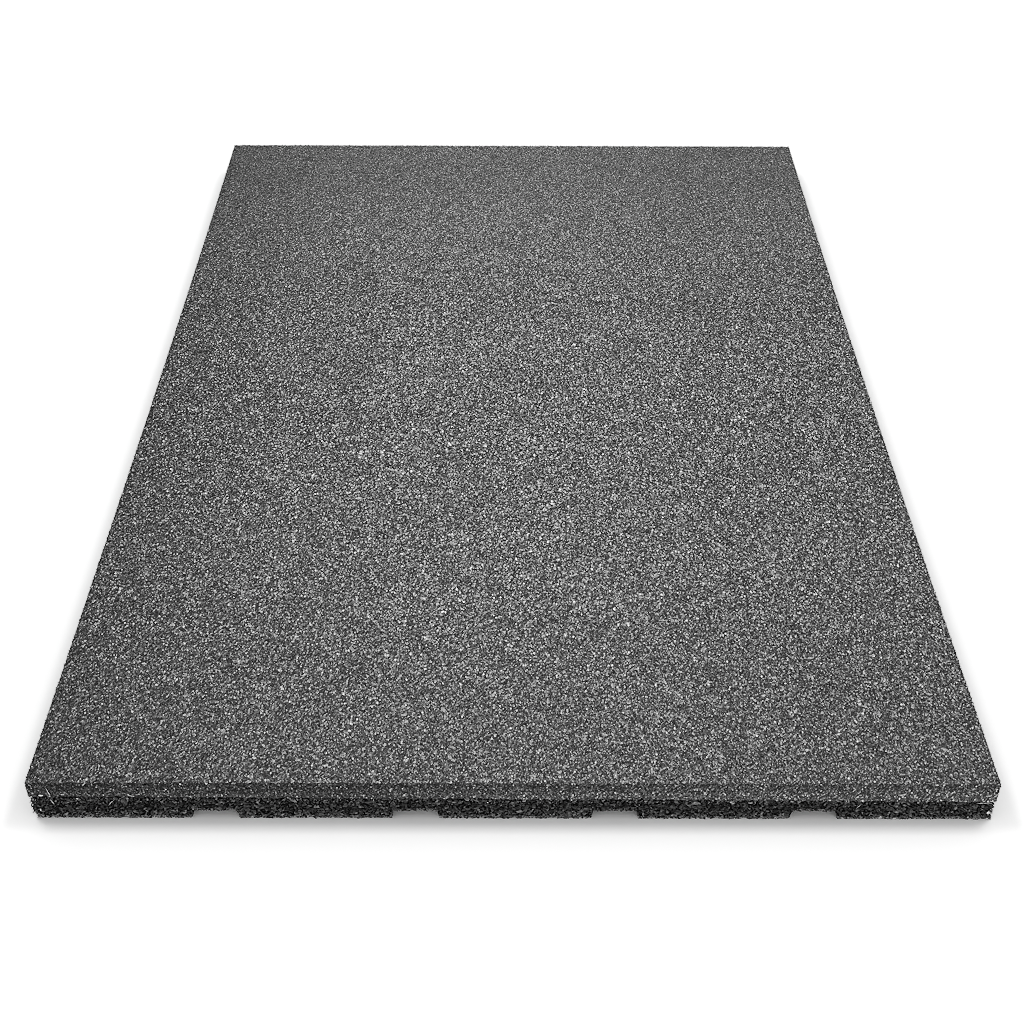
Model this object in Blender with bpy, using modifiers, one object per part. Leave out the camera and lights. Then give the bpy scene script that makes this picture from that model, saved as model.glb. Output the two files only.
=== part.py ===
"""Rubber safety tile: one pressed slab of bound rubber granulate.

Metres, +Z up. The origin is the middle of the underside, and the long side runs along Y.
The underside has straight drainage channels that run the whole length of the tile.
"""
import bpy
import bmesh

NAME = "rubber_safety_tile"

# Driving dimensions
WIDTH = 0.500
LENGTH = 0.750
THICKNESS = 0.028

# Rounding that the press mould leaves
CORNER_RADIUS = 0.0020
TOP_EDGE_RADIUS = 0.0012
CORNER_SEGMENTS = 4

# Drainage channels, open to the underside and to both ends
CHANNEL_COUNT = 4
CHANNEL_PITCH = 0.104
CHANNEL_DEPTH = 0.0055
CHANNEL_MOUTH_WIDTH = 0.0265
CHANNEL_CEILING_WIDTH = 0.0215
CHANNEL_FILLET = 0.0015
CHANNEL_FILLET_SEGMENTS = 3
CUTTER_OVERRUN = 0.010

# Black granulate with a matt, slightly dusty skin
GRANULATE_COLOUR = (0.095, 0.095, 0.095, 1.0)
GRANULATE_ROUGHNESS = 0.88
SHARP_ANGLE = 0.6


def clear_scene():
    for obj in list(bpy.data.objects):
        bpy.data.objects.remove(obj, do_unlink=True)


def add_collection(name):
    collection = bpy.data.collections.new(name)
    bpy.context.scene.collection.children.link(collection)
    return collection


def granulate_material():
    material = bpy.data.materials.new("bound_rubber_granulate")
    material.use_nodes = True
    shader = material.node_tree.nodes["Principled BSDF"]
    shader.inputs["Base Color"].default_value = GRANULATE_COLOUR
    shader.inputs["Roughness"].default_value = GRANULATE_ROUGHNESS
    shader.inputs["Metallic"].default_value = 0.0
    return material


def unit_cube():
    """A cube whose corners are at -1 and +1, ready to be placed corner by corner."""
    bm = bmesh.new()
    bmesh.ops.create_cube(bm, size=2.0)
    return bm


def object_from(bm, name, collection):
    mesh = bpy.data.meshes.new(name)
    bm.to_mesh(mesh)
    bm.free()
    obj = bpy.data.objects.new(name, mesh)
    collection.objects.link(obj)
    return obj


def weigh_edges(bm, weight_of_edge):
    """Store how strongly each edge is rounded, as a share of the Bevel modifier's width."""
    layer = bm.edges.layers.float.new("bevel_weight_edge")
    for edge in bm.edges:
        edge[layer] = weight_of_edge(edge)


def add_weighted_bevel(obj, width, segments):
    bevel = obj.modifiers.new("round_edges", "BEVEL")
    bevel.limit_method = "WEIGHT"
    bevel.width = width
    bevel.segments = segments


def slab_edge_weight(edge):
    """Full rounding on the upright corners, less along the top edge, none on the underside."""
    low, high = sorted(vertex.co.z for vertex in edge.verts)
    if low < high:
        return 1.0
    return TOP_EDGE_RADIUS / CORNER_RADIUS if low > 0.0 else 0.0


def add_slab(collection):
    bm = unit_cube()
    for vertex in bm.verts:
        vertex.co.x *= WIDTH / 2
        vertex.co.y *= LENGTH / 2
        vertex.co.z = THICKNESS if vertex.co.z > 0 else 0.0
    weigh_edges(bm, slab_edge_weight)
    slab = object_from(bm, "rubber_tile", collection)
    add_weighted_bevel(slab, CORNER_RADIUS, CORNER_SEGMENTS)
    return slab


def channel_width(z):
    """Width of a channel at height z: its sides lean outward towards the mouth."""
    widening = (CHANNEL_MOUTH_WIDTH - CHANNEL_CEILING_WIDTH) / CHANNEL_DEPTH
    return CHANNEL_CEILING_WIDTH + widening * (CHANNEL_DEPTH - z)


def ceiling_edge_weight(edge):
    """Only the two long edges of the channel's ceiling are rounded."""
    first, second = (vertex.co for vertex in edge.verts)
    at_ceiling = min(first.z, second.z) > 0.0
    runs_lengthwise = abs(first.y - second.y) > LENGTH
    return 1.0 if at_ceiling and runs_lengthwise else 0.0


def add_channel_cutter(number, x, collection):
    bm = unit_cube()
    for vertex in bm.verts:
        z = CHANNEL_DEPTH if vertex.co.z > 0 else -CUTTER_OVERRUN
        vertex.co.x *= channel_width(z) / 2
        vertex.co.y *= LENGTH / 2 + CUTTER_OVERRUN
        vertex.co.z = z
    weigh_edges(bm, ceiling_edge_weight)
    cutter = object_from(bm, f"channel_cutter_{number}", collection)
    cutter.location.x = x
    cutter.hide_render = True
    cutter.display_type = "WIRE"
    add_weighted_bevel(cutter, CHANNEL_FILLET, CHANNEL_FILLET_SEGMENTS)
    return cutter


def cut(target, cutter):
    boolean = target.modifiers.new(cutter.name, "BOOLEAN")
    boolean.operation = "DIFFERENCE"
    boolean.solver = "EXACT"
    boolean.object = cutter


def channel_positions():
    first = -CHANNEL_PITCH * (CHANNEL_COUNT - 1) / 2
    return [first + CHANNEL_PITCH * step for step in range(CHANNEL_COUNT)]


def main():
    clear_scene()
    parts = add_collection(NAME)
    cutters = add_collection("cutters")

    tile = add_slab(parts)
    tile.data.materials.append(granulate_material())
    for number, x in enumerate(channel_positions(), start=1):
        cut(tile, add_channel_cutter(number, x, cutters))

    tile.data.shade_smooth()
    tile.data.set_sharp_from_angle(angle=SHARP_ANGLE)


main()
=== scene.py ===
import math

import bmesh
import bpy
import numpy as np
from mathutils import Matrix, Vector, noise


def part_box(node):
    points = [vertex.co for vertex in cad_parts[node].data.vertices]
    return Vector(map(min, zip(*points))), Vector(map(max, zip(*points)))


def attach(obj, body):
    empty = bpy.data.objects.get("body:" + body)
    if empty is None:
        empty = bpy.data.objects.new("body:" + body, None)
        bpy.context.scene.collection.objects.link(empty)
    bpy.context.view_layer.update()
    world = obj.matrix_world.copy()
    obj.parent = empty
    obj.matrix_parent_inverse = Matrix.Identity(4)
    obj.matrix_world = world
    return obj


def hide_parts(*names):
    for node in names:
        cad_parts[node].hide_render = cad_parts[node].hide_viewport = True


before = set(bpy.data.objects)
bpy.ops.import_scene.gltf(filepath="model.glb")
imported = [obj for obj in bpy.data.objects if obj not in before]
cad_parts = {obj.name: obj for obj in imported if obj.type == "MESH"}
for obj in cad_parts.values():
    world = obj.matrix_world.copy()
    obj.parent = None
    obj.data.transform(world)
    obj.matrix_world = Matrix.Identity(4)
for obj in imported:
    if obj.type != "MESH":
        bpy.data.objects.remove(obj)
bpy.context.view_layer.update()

BODY = "root"
NODE = "rubber_tile"
MM = 0.001

# The tile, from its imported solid
LOW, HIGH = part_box(NODE)
WIDTH = HIGH.x - LOW.x
LENGTH = HIGH.y - LOW.y
TOP = HIGH.z

# The fine top course ends at a slightly tilted, uneven line around the sides
JOINT_HEIGHT = 15.65 * MM
JOINT_TILT = -0.0064
JOINT_WAVE = 0.5 * MM
JOINT_WAVE_LENGTH = 28 * MM
JOINT_GRAIN = 1.5 * MM
JOINT_GRAIN_LENGTH = 2.6 * MM

# How far the surfaces lie inside the solid, whose faces are at the granules' tips
SIDE_INSET = 0.15 * MM
END_INSET = 0.35 * MM
BASE_INSET = 1.5 * MM

# Each course's hidden end lies this far inside its walls, and half as far past the joint line
TONGUE = 2.5 * MM

# Grids of the two courses. A wall's share runs from 0 at the face to 1 at the joint line.
TOP_PARTS = 3
TOP_CELL = 1.25 * MM
TOP_ROWS = 3
BASE_CELL = 4.0 * MM
BASE_ROWS = 4
HIDDEN_END_SHARE = 2.0

# Relief. The sideways shift is a share of a cell.
EDGE_RADIUS = 0.5 * MM
TOP_RELIEF = 0.65 * MM
TOP_DIP_POWER = 1.5
TOP_SHIFT = 0.3
BASE_RELIEF = 0.6 * MM
UNDERSIDE_RELIEF = 0.4 * MM

# The left part of the underside is slightly off the floor. The lift ends softly between two shares of
# the width.
UNDERSIDE_LIFT = 0.35 * MM
LIFT_ENDS = (-0.2, 0.35)

# The long sides are drawn in slightly at the middle of their length
WAIST_LEFT = 1.5 * MM
WAIST_RIGHT = 1.9 * MM

# Drainage channels as in the solid, but with room for the granules of their ceilings and steeper walls
CHANNEL_COUNT = 4
CHANNEL_PITCH = 104 * MM
CHANNEL_DEPTH = 6.1 * MM
CHANNEL_MOUTH = 24.5 * MM
CHANNEL_CEILING = 21.5 * MM
CHANNEL_SHIFT = 1.0 * MM

# Worn lower corner at the front left. The base course is pushed in there, a little further than it is worn.
CHIP = Vector((2.3, 3.2, 4.8)) * MM
CHIP_MARGIN = 1.25
CHIP_SLANT = (0.7, 0.7, 1.0)

# Granules. Reach, stretch and spread are how much their corners, sides and sizes differ. The jitter is a
# share of their spacing, and the depth range of their inset.
TEMPLATE_COUNT = 24
GRANULE_CORNERS = 6
CORNER_REACH = (0.8, 1.1)
GRANULE_STRETCH = (0.7, 1.3)
FACE_MARGIN = 0.1 * MM
PRESSING_STEPS = 4
PLACE_JITTER = 0.4
DEPTH_RANGE = (0.5, 1.5)
BASE_GRANULE = 1.6 * MM
RIM_GRANULE = 1.4 * MM
BASE_SPREAD = 0.3
BASE_FLATNESS = (1.35, 1.35, 0.75)
BASE_CLEARANCE = 0.2 * MM
BAND_GRANULE = 1.5 * MM
BAND_SPREAD = 0.2

# Where the base's granules end and the band's begin, in millimetres from the joint line
BASE_RAGGED = (-1.6, 0.6)
BAND_RAGGED = (-0.8, 1.2)

# Seeds of the random draws
TOP_SEED = 31
BASE_SEED = 41
BASE_PLACES_SEED = 11
BASE_SHAPES_SEED = 12
BAND_PLACES_SEED = 21
BAND_SHAPES_SEED = 22
FLECKS_SEED = 51

# Pale fibres (radius, places) and flecks (place, width, height) on the front face. All in millimetres,
# from its middle line and above the floor.
FIBRES = [
    (0.14, [(-239.5, 24.1), (-239.2, 21.9), (-238.7, 19.6), (-238.2, 17.0)]),
    (0.13, [(-239.0, 15.4), (-238.2, 13.2), (-237.3, 10.8)]),
    (0.16, [(-209.7, 10.2), (-207.9, 12.5), (-205.9, 14.8)]),
    (0.60, [(-199.0, 19.2), (-198.2, 18.6), (-196.3, 17.3), (-195.2, 16.6)]),
    (0.55, [(-220.8, 25.1), (-220.3, 25.8), (-219.3, 27.0), (-218.8, 27.4)]),
    (0.17, [(240.0, 12.8), (242.1, 13.1), (244.7, 13.2), (248.4, 12.9)]),
    (0.12, [(178.0, 9.0), (179.3, 10.5), (180.2, 12.2)]),
]
FLECK_THICKNESS = 0.5
FLECK_UNEVENNESS = (0.7, 1.0)
FLECKS = [
    (-243.3, 17.9, 3.3, 0.9), (-232.0, 18.6, 2.4, 0.8), (-245.4, 6.6, 0.9, 2.6), (-156.9, 27.3, 1.6, 1.1),
    (-170.3, 26.8, 1.0, 0.9), (-178.2, 22.7, 0.9, 0.9), (-224.9, 15.5, 1.3, 0.7), (-111.4, 17.4, 1.2, 0.7),
    (-56.8, 23.7, 0.9, 0.9), (-13.3, 12.9, 1.0, 0.7), (139.7, 18.8, 1.8, 0.9), (182.1, 18.3, 1.4, 0.8),
    (200.0, 19.1, 1.6, 0.8), (217.0, 27.0, 1.8, 1.0), (237.3, 26.2, 1.2, 1.2), (247.6, 5.4, 2.4, 2.6),
    (247.7, 0.8, 1.6, 0.8), (199.2, 0.7, 2.6, 0.8),
]

# Finish of the granulate, and how much the cells of the material mottle a granule that has its own shade
GRANULATE_ROUGHNESS = 0.75
GRANULATE_SPECULAR = 0.1
MOTTLE = [(0.0, 0.55), (1.0, 1.45)]

# Floor and light
FLOOR_GREY = 0.75
FLOOR_HALF_WIDTH = 6.0
FLOOR_CELLS = 8
SKY_STRENGTH = 1.05
LAMP_PLACE = Vector((0.988, 0.17, 2.2))
LAMP_SIZE = (0.67, 0.385)
LAMP_POWER = 16.6

# Camera, from the photograph's perspective: its place is measured from the middle of the front face
LENS = 52.604
SENSOR = 36.0
CAMERA_PLACE = Vector((-3.38, -509.2, 614.7)) * MM
CAMERA_PITCH = 38.756
CAMERA_YAW = -0.23
CAMERA_ROLL = 0.27

# Sharpening of the picture, up to a middle grey
SHARPENING = 0.35
SHARPENED_UP_TO = 0.55
DISPLAY_GAMMA = 2.2


def smoothstep(low, high, x):
    t = np.clip((x - low) / (high - low), 0.0, 1.0)
    return t * t * (3 - 2 * t)


def joint_height(x, y):
    """Height of the line between the two courses."""
    place = Vector((x, y, 0.0))
    wave = JOINT_WAVE * noise.noise(place / JOINT_WAVE_LENGTH)
    return JOINT_HEIGHT + JOINT_TILT * x + wave + JOINT_GRAIN * noise.noise(place / JOINT_GRAIN_LENGTH)


def joint_heights(points):
    return np.array([joint_height(x, y) for x, y in points[:, :2]])


def channel_centres():
    first = CHANNEL_SHIFT - CHANNEL_PITCH * (CHANNEL_COUNT - 1) / 2
    return [first + CHANNEL_PITCH * step for step in range(CHANNEL_COUNT)]


def pad_height(x):
    """Height of the pads that the tile stands on."""
    return UNDERSIDE_LIFT * (1 - smoothstep(LIFT_ENDS[0] * WIDTH, LIFT_ENDS[1] * WIDTH, x))


def underside_height(x):
    """Height of the underside at x: near 0 on the pads, the channel's ceiling in the channels."""
    height = pad_height(x)
    slope = (CHANNEL_MOUTH - CHANNEL_CEILING) / 2
    for centre in channel_centres():
        beside = np.abs(x - centre) - CHANNEL_CEILING / 2
        height = np.maximum(height, CHANNEL_DEPTH * np.clip(1 - beside / slope, 0, 1))
    return height


def worn_corner(points):
    """How far each point lies from the worn lower corner, where anything under 1 is gone."""
    reach = (points - np.array((LOW.x, LOW.y, 0.0))) / np.array(CHIP)
    return np.linalg.norm(np.clip(reach, 0.0, None), axis=1)


def coordinates(mesh):
    flat = np.zeros(len(mesh.vertices) * 3, np.float32)
    mesh.vertices.foreach_get("co", flat)
    return flat.reshape(-1, 3).astype(float)


def set_coordinates(mesh, points):
    mesh.vertices.foreach_set("co", points.astype(np.float32).ravel())
    mesh.update()


def draw_in_sides(mesh):
    """Gives the tile its slight waist."""
    points = coordinates(mesh)
    depth = np.where(points[:, 0] < 0, WAIST_LEFT, WAIST_RIGHT) / (WIDTH / 2)
    points[:, 0] *= 1 - depth * (1 - (points[:, 1] / (LENGTH / 2)) ** 2)
    set_coordinates(mesh, points)


def add_object(mesh, name, *materials):
    obj = bpy.data.objects.new(name, mesh)
    bpy.context.scene.collection.objects.link(obj)
    for material in materials:
        mesh.materials.append(material)
    return obj


def skirted_grid(xs, ys, heights, name):
    """A closed slab: a grid with the lines xs and ys at height 0, a skirt with rows at the given
    heights, and a cap. Every face that isn't in the grid gets material slot 1."""
    bm = bmesh.new()
    bmesh.ops.create_grid(bm, x_segments=len(xs) - 1, y_segments=len(ys) - 1, size=1.0)
    grid_faces = len(bm.faces)
    edges = [edge for edge in bm.edges if edge.is_boundary]
    for height in heights:
        made = bmesh.ops.extrude_edge_only(bm, edges=edges)["geom"]
        for vertex in made:
            if isinstance(vertex, bmesh.types.BMVert):
                vertex.co.z = height
        edges = [edge for edge in made if isinstance(edge, bmesh.types.BMEdge) and edge.is_boundary]
    bmesh.ops.contextual_create(bm, geom=edges)
    bmesh.ops.recalc_face_normals(bm, faces=bm.faces)
    mesh = bpy.data.meshes.new(name)
    bm.to_mesh(mesh)
    bm.free()
    points = coordinates(mesh)
    columns = np.rint((points[:, 0] + 1) / 2 * (len(xs) - 1)).astype(int)
    rows = np.rint((points[:, 1] + 1) / 2 * (len(ys) - 1)).astype(int)
    set_coordinates(mesh, np.column_stack((xs[columns], ys[rows], points[:, 2])))
    slots = np.ones(len(mesh.polygons), np.int32)
    slots[:grid_faces] = 0
    mesh.polygons.foreach_set("material_index", slots)
    return mesh, columns, rows


def round_box(points, low, high, radius):
    """Moves the points of a box's surface onto the same box with rounded edges."""
    core = np.clip(points, np.array(low) + radius, np.array(high) - radius)
    away = points - core
    length = np.linalg.norm(away, axis=1, keepdims=True)
    return np.where(length > 1e-9, core + away / np.maximum(length, 1e-9) * radius, points)


def even_lines(low, high, cell):
    return np.linspace(low, high, round((high - low) / cell) + 1)


def top_piece(number, all_ys, first, last, fine, band):
    """One part of the fine top course: its share of the walking face, and the wall behind the granules."""
    low = (LOW.x + SIDE_INSET, LOW.y + END_INSET)
    high = (HIGH.x - SIDE_INSET, HIGH.y - END_INSET)
    xs = even_lines(low[0], high[0], TOP_CELL)
    depths = -np.linspace(0, 1, TOP_ROWS + 1)[1:]
    name = f"fine_course_{number}"
    mesh, columns, rows = skirted_grid(xs, all_ys[first:last + 1], [*depths, -HIDDEN_END_SHARE], name)
    rows = rows + first
    points = coordinates(mesh)
    share = -points[:, 2]
    bottom = joint_heights(points)
    on_wall = share <= 1.0
    z = np.where(on_wall, TOP + (bottom - TOP) * share, bottom - TONGUE / 2)
    inward = np.where(on_wall, 0.0, TONGUE)
    x = np.clip(points[:, 0], low[0] + inward, high[0] - inward)
    y = np.clip(points[:, 1], low[1] + inward, high[1] - inward)
    points = np.column_stack((x, y, z))
    rounded = round_box(points, (*low, 0.0), (*high, TOP), EDGE_RADIUS)
    points = np.where(z[:, None] > TOP - 2 * EDGE_RADIUS, rounded, points)

    # Every granule of the walking face has its own height and a small sideways shift
    rng = np.random.default_rng(TOP_SEED)
    dips = rng.uniform(0.0, 1.0, (len(xs), len(all_ys))) ** TOP_DIP_POWER
    shifts = rng.uniform(-TOP_SHIFT, TOP_SHIFT, (len(xs), len(all_ys), 2)) * TOP_CELL
    shifts[[0, -1]] = 0.0
    shifts[:, [0, -1]] = 0.0
    in_face = share == 0.0
    points[in_face, 2] -= TOP_RELIEF * dips[columns, rows][in_face]
    points[in_face, :2] += shifts[columns, rows][in_face]
    set_coordinates(mesh, points)
    return add_object(mesh, name, fine, band)


def top_course(fine, band):
    """The fine-grained top course, in parts so that each mesh stays light."""
    ys = even_lines(LOW.y + END_INSET, HIGH.y - END_INSET, TOP_CELL)
    ends = np.rint(np.linspace(0, len(ys) - 1, TOP_PARTS + 1)).astype(int)
    return [top_piece(number, ys, first, last, fine, band)
            for number, (first, last) in enumerate(zip(ends, ends[1:]), start=1)]


def base_lines():
    """Grid lines across the underside, with a line at every corner of the channels."""
    edge = WIDTH / 2 - BASE_INSET
    corners = [-edge]
    for centre in channel_centres():
        for width in (-CHANNEL_MOUTH, -CHANNEL_CEILING, CHANNEL_CEILING, CHANNEL_MOUTH):
            corners.append(centre + width / 2)
    corners.append(edge)
    lines = [corners[0]]
    for start, end in zip(corners, corners[1:]):
        lines.extend(np.linspace(start, end, max(2, round((end - start) / BASE_CELL) + 1))[1:])
    return np.array(lines)


def base_course(under, painted_pore_shade):
    """The coarse base course: the underside with its channels, and the wall behind the granules, near black
    as painted shade between them.
    """
    xs = base_lines()
    ys = even_lines(LOW.y + BASE_INSET, HIGH.y - BASE_INSET, BASE_CELL)
    shares = np.linspace(0, 1, BASE_ROWS + 1)[1:]
    mesh, _, _ = skirted_grid(xs, ys, [*shares, HIDDEN_END_SHARE], "base_course")
    points = coordinates(mesh)
    share = points[:, 2]
    rng = np.random.default_rng(BASE_SEED)
    bottom = underside_height(points[:, 0]) + UNDERSIDE_RELIEF
    top = joint_heights(points)
    on_wall = share <= 1.0
    z = np.where(on_wall, bottom + (top - bottom) * share, top + TONGUE / 2)
    inward = np.where(on_wall, rng.uniform(0, BASE_RELIEF, len(points)), TONGUE)
    x = np.clip(points[:, 0], xs[0] + inward, xs[-1] - inward)
    y = np.clip(points[:, 1], ys[0] + inward, ys[-1] - inward)
    z = z + np.where(share == 0.0, rng.uniform(-UNDERSIDE_RELIEF, UNDERSIDE_RELIEF / 2, len(points)), 0.0)
    points = np.column_stack((x, y, z))
    cut = np.clip(CHIP_MARGIN - worn_corner(points), 0.0, None)[:, None]
    points += cut * np.array(CHIP) * CHIP_SLANT
    set_coordinates(mesh, points)
    return add_object(mesh, "base_course", under, painted_pore_shade)


def granule_templates(rng):
    """Angular stones of about unit size: the convex hulls of a few random points."""
    templates = []
    for _ in range(TEMPLATE_COUNT):
        directions = rng.normal(size=(GRANULE_CORNERS, 3))
        directions /= np.linalg.norm(directions, axis=1, keepdims=True)
        bm = bmesh.new()
        for direction in directions * rng.uniform(*CORNER_REACH, (GRANULE_CORNERS, 1)):
            bm.verts.new(direction / 2)
        hull = bmesh.ops.convex_hull(bm, input=bm.verts)
        spare = [item for item in hull["geom_interior"] if isinstance(item, bmesh.types.BMVert)]
        bmesh.ops.delete(bm, geom=spare, context="VERTS")
        bmesh.ops.triangulate(bm, faces=bm.faces)
        bmesh.ops.recalc_face_normals(bm, faces=bm.faces)
        bm.verts.index_update()
        corners = np.array([vertex.co for vertex in bm.verts])
        faces = np.array([[vertex.index for vertex in face.verts] for face in bm.faces])
        templates.append((corners, faces))
        bm.free()
    return templates


def random_rotations(rng, count):
    """Rotation matrices from random unit quaternions."""
    q = rng.normal(size=(count, 4))
    w, x, y, z = (q / np.linalg.norm(q, axis=1, keepdims=True)).T
    rows = [
        [1 - 2 * (y * y + z * z), 2 * (x * y - z * w), 2 * (x * z + y * w)],
        [2 * (x * y + z * w), 1 - 2 * (x * x + z * z), 2 * (y * z - x * w)],
        [2 * (x * z - y * w), 2 * (y * z + x * w), 1 - 2 * (x * x + y * y)],
    ]
    return np.array(rows).transpose(2, 0, 1)


def press_into_mould(points, centres):
    """Flattens granules against the mould's faces, and draws them in where they reach into a channel."""
    points = np.clip(points, np.array(LOW) + (0.0, FACE_MARGIN, 0.0), np.array(HIGH))
    points[:, 2] = np.maximum(points[:, 2], pad_height(points[:, 0]) - UNDERSIDE_RELIEF)
    for _ in range(PRESSING_STEPS):
        over = points[:, 2] < underside_height(points[:, 0]) - UNDERSIDE_RELIEF
        points[over] = (points[over] + centres[over]) / 2
    points[:, 2] = np.maximum(points[:, 2], 0.0)
    return points


def granule_piece(name, places, sizes, seed, material, flatness=(1.0, 1.0, 1.0)):
    """One joined mesh of angular granules."""
    rng = np.random.default_rng(seed)
    templates = granule_templates(rng)
    turns = random_rotations(rng, len(places))
    stretch = rng.uniform(*GRANULE_STRETCH, (len(places), 3))
    kinds = rng.integers(0, TEMPLATE_COUNT, len(places))
    all_points, all_centres, all_faces, count = [], [], [], 0
    for kind, (corners, faces) in enumerate(templates):
        chosen = np.flatnonzero(kinds == kind)
        shaped = corners[None] * stretch[chosen][:, None] * sizes[chosen][:, None, None]
        placed = np.einsum("nij,nkj->nki", turns[chosen], shaped) * flatness + places[chosen][:, None]
        offsets = count + np.arange(len(chosen)) * len(corners)
        all_points.append(placed.reshape(-1, 3))
        all_centres.append(np.repeat(places[chosen], len(corners), axis=0))
        all_faces.append((faces[None] + offsets[:, None, None]).reshape(-1, 3))
        count += len(chosen) * len(corners)
    points = press_into_mould(np.concatenate(all_points), np.concatenate(all_centres))
    mesh = bpy.data.meshes.new(name)
    mesh.from_pydata(points.tolist(), [], np.concatenate(all_faces).tolist())
    mesh.update()
    return add_object(mesh, name, material)


def wall_places(rng, spacing, row_spacing, low_z, high_z, inset):
    """Jittered places all round the four sides, at about the given depth inside them. Every second row is
    moved along by half the spacing."""
    around = []
    for side, (span, across) in enumerate([(WIDTH, LENGTH), (LENGTH, WIDTH)] * 2):
        count = round(span / spacing)
        rows = round((high_z - low_z) / row_spacing)
        u, v = np.meshgrid(np.arange(count) + 0.5, np.arange(rows) + 0.5)
        row_shift = (np.floor(v) % 2 - 0.5) / 2
        u = (u + row_shift + rng.uniform(-PLACE_JITTER, PLACE_JITTER, u.shape)) / count
        v = (v + rng.uniform(-PLACE_JITTER, PLACE_JITTER, v.shape)) / rows
        along = (u.ravel() - 0.5) * span
        out = np.full(along.shape, across / 2) - inset * rng.uniform(*DEPTH_RANGE, along.shape)
        height = low_z + v.ravel() * (high_z - low_z)
        turn = side * math.pi / 2
        x = along * math.cos(turn) + out * math.sin(turn)
        y = along * math.sin(turn) - out * math.cos(turn)
        around.append(np.column_stack((x, y, height)))
    return np.concatenate(around)


def base_granules(material):
    """Flattened, coarse granules of the base course, with a closer row of them along its lower rim."""
    rng = np.random.default_rng(BASE_PLACES_SEED)
    places = wall_places(rng, spacing=1.5 * MM, row_spacing=1.2 * MM, low_z=0.0,
                         high_z=JOINT_HEIGHT + 2 * MM, inset=1.1 * MM)
    lower_end = underside_height(places[:, 0]) + BASE_CLEARANCE
    upper_end = joint_heights(places) + rng.uniform(*BASE_RAGGED, len(places)) * MM
    places = places[(places[:, 2] < upper_end) & (places[:, 2] > lower_end)]
    rim = wall_places(rng, spacing=1.05 * MM, row_spacing=1.0 * MM, low_z=0.1 * MM,
                      high_z=1.1 * MM, inset=0.6 * MM)
    rim[:, 2] += underside_height(rim[:, 0])
    sizes = np.concatenate((np.full(len(places), BASE_GRANULE), np.full(len(rim), RIM_GRANULE)))
    places = np.concatenate((places, rim))
    keep = worn_corner(places) > 1.0
    places = places[keep]
    sizes = sizes[keep] * rng.lognormal(0.0, BASE_SPREAD, len(places))
    return granule_piece("base_granules", places, sizes, BASE_SHAPES_SEED, material, BASE_FLATNESS)


def band_granules(material):
    """Granules in the sides of the fine top course."""
    rng = np.random.default_rng(BAND_PLACES_SEED)
    places = wall_places(rng, spacing=1.25 * MM, row_spacing=1.2 * MM, low_z=JOINT_HEIGHT - 3 * MM,
                         high_z=TOP - 0.2 * MM, inset=0.42 * MM)
    lower_end = joint_heights(places) + rng.uniform(*BAND_RAGGED, len(places)) * MM
    places = places[places[:, 2] > lower_end]
    sizes = BAND_GRANULE * rng.lognormal(0.0, BAND_SPREAD, len(places))
    return granule_piece("band_granules", places, sizes, BAND_SHAPES_SEED, material)


def at_front(across, height, depth):
    """A place on the front face, in millimetres from the tile's middle line and the floor."""
    return Vector((across * MM, LOW.y + depth * MM, height * MM))


def add_fibre(bm, places, radius):
    """A thin bent fibre: a three-sided tube with pointed ends."""
    rings = []
    for before, place, after in zip(places[:-2], places[1:-1], places[2:]):
        run = (after - before).normalized()
        side = run.orthogonal().normalized()
        turns = [Matrix.Rotation(math.radians(angle), 3, run) for angle in (0, 120, 240)]
        rings.append([bm.verts.new(place + turn @ side * radius) for turn in turns])
    tips = [bm.verts.new(places[0]), bm.verts.new(places[-1])]
    for corner in range(3):
        following = (corner + 1) % 3
        bm.faces.new((tips[0], rings[0][following], rings[0][corner]))
        bm.faces.new((tips[1], rings[-1][corner], rings[-1][following]))
        for ring, next_ring in zip(rings, rings[1:]):
            bm.faces.new((ring[corner], ring[following], next_ring[following], next_ring[corner]))


def fibres_and_flecks(material):
    """Pale textile fibres and chips caught in the front face."""
    bm = bmesh.new()
    for radius, places in FIBRES:
        add_fibre(bm, [at_front(*place, depth=radius) for place in places], radius * MM)
    rng = np.random.default_rng(FLECKS_SEED)
    for across, height, width, tall in FLECKS:
        chip = bmesh.ops.create_icosphere(bm, subdivisions=1, radius=0.5)["verts"]
        for vertex in chip:
            shape = Vector((width, FLECK_THICKNESS, tall)) * rng.uniform(*FLECK_UNEVENNESS) * MM
            vertex.co = at_front(across, height, FLECK_THICKNESS / 2) + vertex.co * shape
    for vertex in bm.verts:
        vertex.co.y = max(vertex.co.y, LOW.y)
    mesh = bpy.data.meshes.new("fibres_and_flecks")
    bmesh.ops.recalc_face_normals(bm, faces=bm.faces)
    bm.to_mesh(mesh)
    bm.free()
    return add_object(mesh, "fibres_and_flecks", material)


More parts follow.
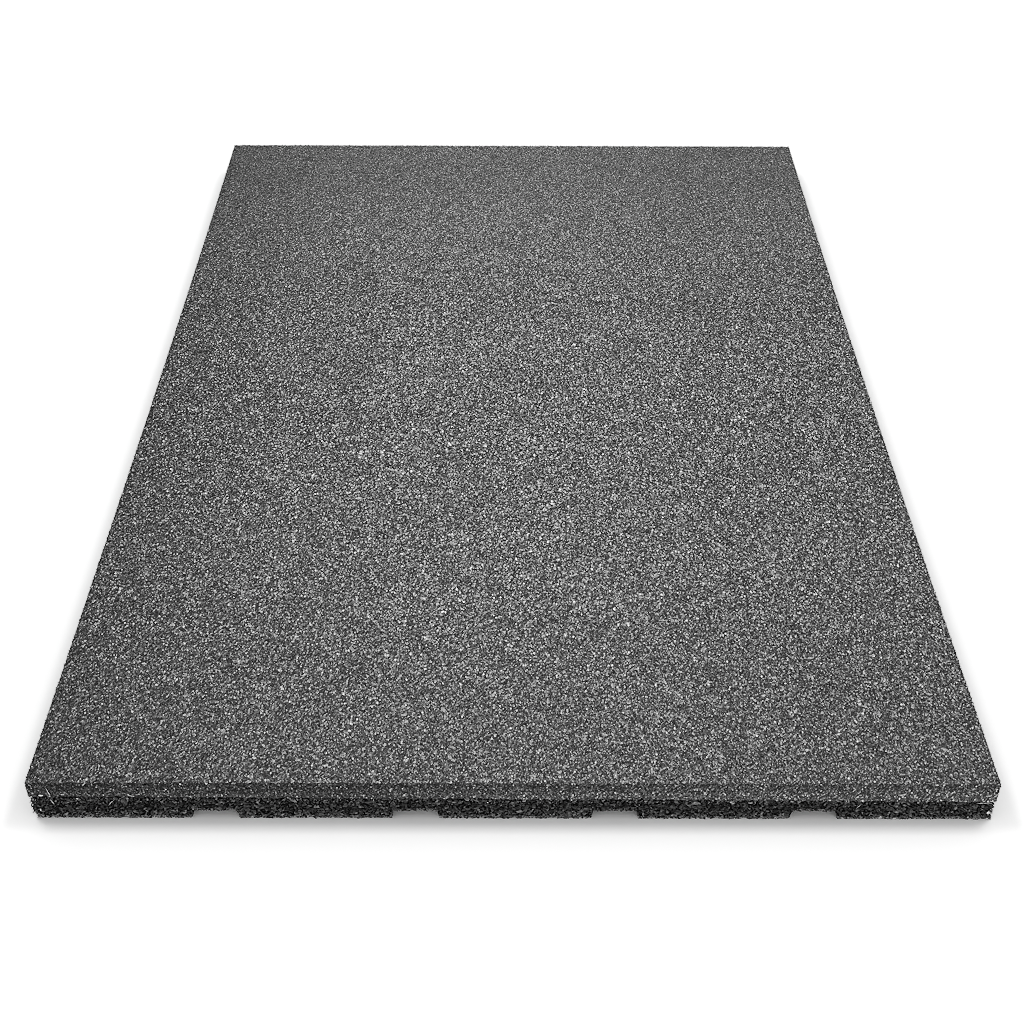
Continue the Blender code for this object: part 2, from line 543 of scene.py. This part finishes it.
class Nodes:
    """Short helper to build a material's node tree."""

    def __init__(self, name):
        self.material = bpy.data.materials.new(name)
        self.material.use_nodes = True
        self.tree = self.material.node_tree
        self.shader = self.tree.nodes["Principled BSDF"]

    def add(self, kind, settings=None, **inputs):
        node = self.tree.nodes.new("ShaderNode" + kind)
        for key, value in (settings or {}).items():
            setattr(node, key, value)
        for key, value in inputs.items():
            self.feed(node.inputs[key.replace("_", " ")], value)
        return node

    def feed(self, socket, value):
        if isinstance(value, bpy.types.NodeSocket):
            self.tree.links.new(value, socket)
        else:
            socket.default_value = value

    def math(self, operation, a, b):
        node = self.add("Math", {"operation": operation})
        self.feed(node.inputs[0], a)
        self.feed(node.inputs[1], b)
        return node.outputs[0]

    def product(self, *factors):
        result = factors[0]
        for factor in factors[1:]:
            result = self.math("MULTIPLY", result, factor)
        return result

    def curve(self, value, points):
        """A grey value read off straight lines between (position, value) points."""
        low, high = points[0][0], points[-1][0]
        share = self.add("MapRange", Value=value, From_Min=low, From_Max=high).outputs["Result"]
        ramp = self.add("ValToRGB", Fac=share)
        elements = ramp.color_ramp.elements
        while len(elements) < len(points):
            elements.new(0.5)
        for element, (position, grey) in zip(elements, points):
            element.position = (position - low) / (high - low)
            element.color = (grey, grey, grey, 1.0)
        return self.add("SeparateColor", Color=ramp.outputs["Color"]).outputs["Red"]


def granulate(name, granule, shades, islands=False, gaps=None, tones=(), contrast=()):
    """Granules of random grey with darker gaps between them, of the given size in x, y and z, in
    millimetres. With islands, each loose part of the mesh has its own shade, and the cells only mottle it.
    Tones are factors that change along an axis of the tile and paint light and shade onto it, and contrast
    is a power of the shades that changes along its length."""
    nodes = Nodes(name)
    place = nodes.add("TexCoord").outputs["Object"]
    scale = [1.0 / (size * MM) for size in granule]
    scaled = nodes.add("Mapping", Vector=place, Scale=scale).outputs["Vector"]
    cells = nodes.add("TexVoronoi", {"feature": "F1"}, Vector=scaled, Scale=1.0)
    pick = nodes.add("SeparateColor", Color=cells.outputs["Color"]).outputs["Red"]
    if islands:
        own = nodes.add("NewGeometry").outputs["Random Per Island"]
        factors = [nodes.curve(own, shades), nodes.curve(pick, MOTTLE)]
    else:
        factors = [nodes.curve(pick, shades)]
    if gaps:
        edges = nodes.add("TexVoronoi", {"feature": "DISTANCE_TO_EDGE"}, Vector=scaled, Scale=1.0)
        factors.append(nodes.curve(edges.outputs["Distance"], gaps))
    axes = nodes.add("SeparateXYZ", Vector=place)
    if contrast:
        factors[0] = nodes.math("POWER", factors[0], nodes.curve(axes.outputs["Y"], contrast))
    # Painted light and shade: each tone multiplies the colour along one axis of the tile
    for axis, points in tones:
        factors.append(nodes.curve(axes.outputs[axis], points))
    nodes.feed(nodes.shader.inputs["Base Color"], nodes.product(*factors))
    nodes.shader.inputs["Roughness"].default_value = GRANULATE_ROUGHNESS
    nodes.shader.inputs["Specular IOR Level"].default_value = GRANULATE_SPECULAR
    return nodes.material


def fine_material():
    """The fine top, with painted shade in its dips, along its rims and towards the back, and a painted pool
    of light in the middle. Its grain is also softer towards the back.
    """
    shades = [(0.0, 0.024), (0.4, 0.077), (0.8, 0.245), (0.96, 0.55), (1.0, 1.2)]
    gaps = [(0.0, 0.0), (0.15, 1.0)]
    # Painted shade: darker in the dips of the walking face, lighter on its tips
    heights = [(TOP - TOP_RELIEF, 0.5), (TOP - 0.35 * TOP_RELIEF, 0.9), (TOP, 1.2)]
    # Painted light and shade across the tile: lightest in the middle, with painted shade along both long
    # sides, more on the left
    across = [(-0.250, 0.58), (-0.2436, 0.62), (-0.243, 0.71), (-0.16, 0.93), (-0.06, 1.08),
              (0.05, 1.09), (0.13, 1.00), (0.2436, 0.92), (0.244, 0.86), (0.250, 0.80)]
    # Painted light and shade along the tile: lightest in the middle, with painted shade along the front rim
    # and more and more towards the back
    along = [(-0.375, 0.86), (-0.3742, 0.82), (-0.3735, 0.65), (-0.2, 0.97), (-0.05, 1.16),
             (0.05, 1.15), (0.14, 0.97), (0.3, 0.53), (0.3735, 0.45), (0.375, 0.42)]
    contrast = [(-0.375, 0.80), (-0.2, 0.95), (-0.05, 1.08), (0.1, 1.05), (0.3, 0.66), (0.375, 0.58)]
    tones = [("Z", heights), ("X", across), ("Y", along)]
    return granulate("fine_granulate", (0.65, 1.05, 0.8), shades, gaps=gaps, tones=tones, contrast=contrast)


def band_material():
    """The sides of the fine course, with painted light just above the joint line and painted shade towards
    the left.
    """
    shades = [(0.0, 0.036), (0.4, 0.085), (0.8, 0.205), (0.96, 0.42), (1.0, 0.9)]
    gaps = [(0.0, 0.2), (0.15, 1.0)]
    # Painted light and shade: lighter just above the joint line, darker higher up
    heights = [(0.0140, 1.0), (0.0160, 1.25), (0.0185, 1.3), (0.0215, 0.98), (0.0255, 0.86), (0.0279, 0.90)]
    # Painted shade towards the left, painted light towards the right
    across = [(-0.25, 0.44), (-0.1, 0.55), (0.0, 0.75), (0.1, 0.80), (0.25, 0.91)]
    tones = [("Z", heights), ("X", across)]
    return granulate("band_granulate", (0.7, 0.9, 1.0), shades, gaps=gaps, tones=tones)


def stone_material():
    """The base course's granules, with painted light at the floor and towards the right. They are also
    lighter just below the joint line.
    """
    shades = [(0.0, 0.019), (0.5, 0.048), (0.9, 0.095), (1.0, 0.18)]
    # Painted light at the floor; also lighter just below the joint line
    heights = [(0.0, 2.2), (0.004, 1.5), (0.007, 1.05), (0.0115, 1.0), (0.0135, 1.9), (0.015, 1.6),
               (0.0165, 1.1)]
    # Painted shade towards the left, painted light towards the right
    across = [(-0.25, 0.88), (0.0, 1.0), (0.25, 1.12)]
    tones = [("Z", heights), ("X", across)]
    return granulate("base_stones", (0.8, 0.8, 0.9), shades, islands=True, tones=tones)


def floor_material():
    nodes = Nodes("pale_floor")
    nodes.shader.inputs["Base Color"].default_value = (FLOOR_GREY, FLOOR_GREY, FLOOR_GREY, 1.0)
    nodes.shader.inputs["Roughness"].default_value = 1.0
    nodes.shader.inputs["Specular IOR Level"].default_value = 0.0
    return nodes.material


def add_floor():
    bm = bmesh.new()
    bmesh.ops.create_grid(bm, x_segments=FLOOR_CELLS, y_segments=FLOOR_CELLS, size=FLOOR_HALF_WIDTH)
    mesh = bpy.data.meshes.new("floor")
    bm.to_mesh(mesh)
    bm.free()
    floor = add_object(mesh, "floor", floor_material())
    floor.location.z = LOW.z


def add_lamp(name, place):
    """A soft rectangular lamp that points at the middle of the tile."""
    light = bpy.data.lights.new(name, "AREA")
    light.shape = "RECTANGLE"
    light.size, light.size_y = LAMP_SIZE
    light.energy = LAMP_POWER
    lamp = bpy.data.objects.new(name, light)
    bpy.context.scene.collection.objects.link(lamp)
    lamp.location = place
    lamp.rotation_mode = "QUATERNION"
    lamp.rotation_quaternion = (-place).to_track_quat("-Z", "Y")


def add_lights():
    """An even white sky, and a lamp high up on each side."""
    world = bpy.data.worlds.new("studio")
    bpy.context.scene.world = world
    world.use_nodes = True
    background = world.node_tree.nodes["Background"]
    background.inputs["Color"].default_value = (1.0, 1.0, 1.0, 1.0)
    background.inputs["Strength"].default_value = SKY_STRENGTH
    add_lamp("left", LAMP_PLACE * Vector((-1, 1, 1)))
    add_lamp("right", LAMP_PLACE)


def add_sharpening():
    """The photograph's grain is sharpened, so the picture gets the same: in display tones, and only up to
    a middle grey, so that the pale floor draws no dark line around the tile."""
    scene = bpy.context.scene
    scene.use_nodes = True
    tree = scene.node_tree
    tree.nodes.clear()

    def add(kind, settings, *images):
        node = tree.nodes.new("CompositorNode" + kind)
        for key, value in settings.items():
            setattr(node, key, value)
        sockets = [socket for socket in node.inputs if socket.type == "RGBA"]
        for socket, image in zip(sockets, images):
            if isinstance(image, bpy.types.NodeSocket):
                tree.links.new(image, socket)
            else:
                socket.default_value = image
        return node

    picture = add("RLayers", {}).outputs["Image"]
    encode = add("Gamma", {}, picture)
    encode.inputs["Gamma"].default_value = 1 / DISPLAY_GAMMA
    tones = encode.outputs["Image"]
    limit = (SHARPENED_UP_TO, SHARPENED_UP_TO, SHARPENED_UP_TO, 1.0)
    dark = add("MixRGB", {"blend_type": "DARKEN"}, tones, limit).outputs["Image"]
    sharpen = add("Filter", {"filter_type": "SHARPEN_DIAMOND"}, dark)
    sharpen.inputs["Fac"].default_value = SHARPENING
    detail = add("MixRGB", {"blend_type": "SUBTRACT"}, sharpen.outputs["Image"], dark).outputs["Image"]
    sharp = add("MixRGB", {"blend_type": "ADD"}, tones, detail).outputs["Image"]
    decode = add("Gamma", {}, sharp)
    decode.inputs["Gamma"].default_value = DISPLAY_GAMMA
    add("Composite", {}, decode.outputs["Image"])


def add_camera():
    data = bpy.data.cameras.new("camera")
    data.lens = LENS
    data.sensor_width = SENSOR
    camera = bpy.data.objects.new("camera", data)
    bpy.context.scene.collection.objects.link(camera)
    turn = Matrix.Rotation(math.radians(CAMERA_YAW), 4, "Z")
    turn = turn @ Matrix.Rotation(math.radians(90 - CAMERA_PITCH), 4, "X")
    turn = turn @ Matrix.Rotation(math.radians(CAMERA_ROLL), 4, "Z")
    place = CAMERA_PLACE + Vector((0.0, LOW.y, 0.0))
    camera.matrix_world = Matrix.Translation(place) @ turn
    bpy.context.scene.camera = camera


fine = fine_material()
band = band_material()
stones = stone_material()
pale = granulate("pale_fibres", (2.0, 2.0, 2.0), [(0.0, 0.50), (0.4, 0.70), (1.0, 1.0)])
# Painted light: the underside's grey is raised so that it lifts the shade inside the channels
under = granulate("underside", (2.6, 2.6, 2.6), [(0.0, 0.05), (1.0, 0.20)], gaps=[(0.0, 0.4), (0.2, 1.0)])
# Painted shade: a near-black wall behind the base's granules, so that the pores between them look shaded
painted_pore_shade = granulate("painted_shade_between_stones", (2.6, 2.6, 2.6), [(0.0, 0.002), (1.0, 0.01)])

add_camera()
add_floor()
add_lights()

pieces = [*top_course(fine, band), base_course(under, painted_pore_shade), base_granules(stones), band_granules(band),
          fibres_and_flecks(pale)]
for piece in pieces:
    draw_in_sides(piece.data)
    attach(piece, BODY)
    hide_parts(NODE)
    print(piece.name, sum(len(face.vertices) - 2 for face in piece.data.polygons), "triangles")

bpy.context.scene.view_settings.view_transform = "Standard"
add_sharpening()
